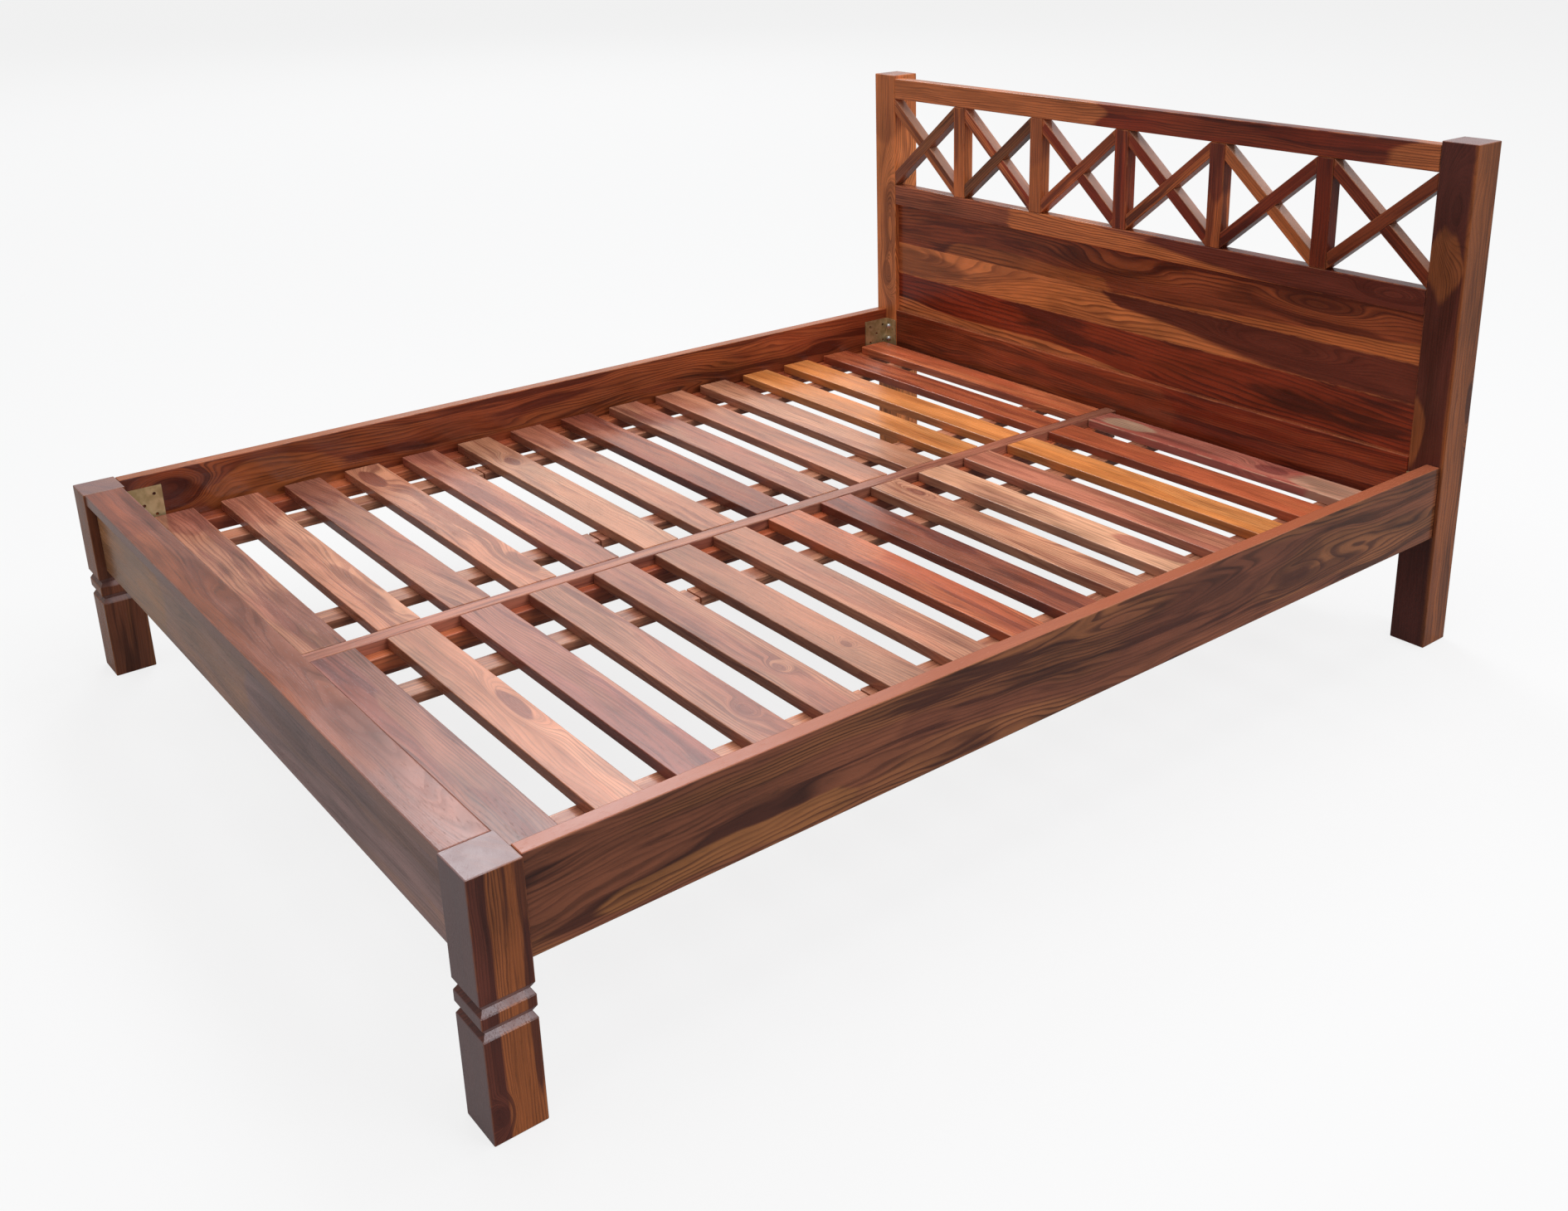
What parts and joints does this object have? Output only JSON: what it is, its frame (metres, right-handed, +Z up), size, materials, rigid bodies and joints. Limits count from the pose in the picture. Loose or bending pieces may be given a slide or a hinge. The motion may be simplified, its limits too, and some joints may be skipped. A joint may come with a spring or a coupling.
{
  "type": "double bed frame",
  "caption": "Solid-wood double bed frame with a crossed-bar lattice headboard, low footboard, grooved foot legs and a slat deck of lift-out panels that carries a mattress.",
  "frame": {"origin": "on the floor under the middle of the bed", "axes": "+Y from the foot to the head, +Z up, +X to the right as seen from the foot"},
  "size_m": [1.73, 2.16, 1.026],
  "materials": {
    "post_wood": "satin lacquer",
    "frame_wood": "satin lacquer",
    "panel_wood": "satin lacquer",
    "lattice_wood": "satin lacquer",
    "support_wood": "satin lacquer",
    "slat_wood": "satin lacquer",
    "batten_wood": "satin lacquer",
    "bracket_metal": "yellow zinc plating"
  },
  "bodies": {
    "frame": {"foot_leg_left": "post_wood", "foot_leg_right": "post_wood", "foot_cap": "frame_wood", "foot_panel": "panel_wood", "head_post_left": "post_wood", "head_post_right": "post_wood", "head_top_rail": "frame_wood", "head_mid_rail": "frame_wood", "head_lower_rail": "frame_wood", "head_panel": "panel_wood", "head_lattice": "lattice_wood", "side_rail_left": "frame_wood", "side_rail_right": "frame_wood", "side_ledger_left": "support_wood", "side_ledger_right": "support_wood", "centre_beam": "support_wood", "beam_ledger_left": "support_wood", "beam_ledger_right": "support_wood", "corner_bracket_foot_left": "bracket_metal", "corner_bracket_foot_right": "bracket_metal", "corner_bracket_head_left": "bracket_metal", "corner_bracket_head_right": "bracket_metal"},
    "panel_left_foot": {"slat_left_01": "slat_wood", "slat_left_02": "slat_wood", "slat_left_03": "slat_wood", "slat_left_04": "slat_wood", "slat_left_05": "slat_wood", "batten_left_foot_outer": "batten_wood", "batten_left_foot_inner": "batten_wood"},
    "panel_left_head": {"slat_left_06": "slat_wood", "slat_left_07": "slat_wood", "slat_left_08": "slat_wood", "slat_left_09": "slat_wood", "slat_left_10": "slat_wood", "slat_left_11": "slat_wood", "slat_left_12": "slat_wood", "slat_left_13": "slat_wood", "slat_left_14": "slat_wood", "slat_left_15": "slat_wood", "batten_left_head_outer": "batten_wood", "batten_left_head_inner": "batten_wood"},
    "panel_right_foot": {"slat_right_01": "slat_wood", "slat_right_02": "slat_wood", "slat_right_03": "slat_wood", "slat_right_04": "slat_wood", "slat_right_05": "slat_wood", "batten_right_foot_outer": "batten_wood", "batten_right_foot_inner": "batten_wood"},
    "panel_right_head": {"slat_right_06": "slat_wood", "slat_right_07": "slat_wood", "slat_right_08": "slat_wood", "slat_right_09": "slat_wood", "slat_right_10": "slat_wood", "slat_right_11": "slat_wood", "slat_right_12": "slat_wood", "slat_right_13": "slat_wood", "slat_right_14": "slat_wood", "slat_right_15": "slat_wood", "batten_right_head_outer": "batten_wood", "batten_right_head_inner": "batten_wood"}
  },
  "joints": [
    {"name": "panel_left_foot_lift", "type": "slide", "parent": "frame", "child": "panel_left_foot", "axis": [0, 0, 1], "range_m": [0, 0.3]},
    {"name": "panel_left_head_lift", "type": "slide", "parent": "frame", "child": "panel_left_head", "axis": [0, 0, 1], "range_m": [0, 0.3]},
    {"name": "panel_right_foot_lift", "type": "slide", "parent": "frame", "child": "panel_right_foot", "axis": [0, 0, 1], "range_m": [0, 0.3]},
    {"name": "panel_right_head_lift", "type": "slide", "parent": "frame", "child": "panel_right_head", "axis": [0, 0, 1], "range_m": [0, 0.3]}
  ]
}
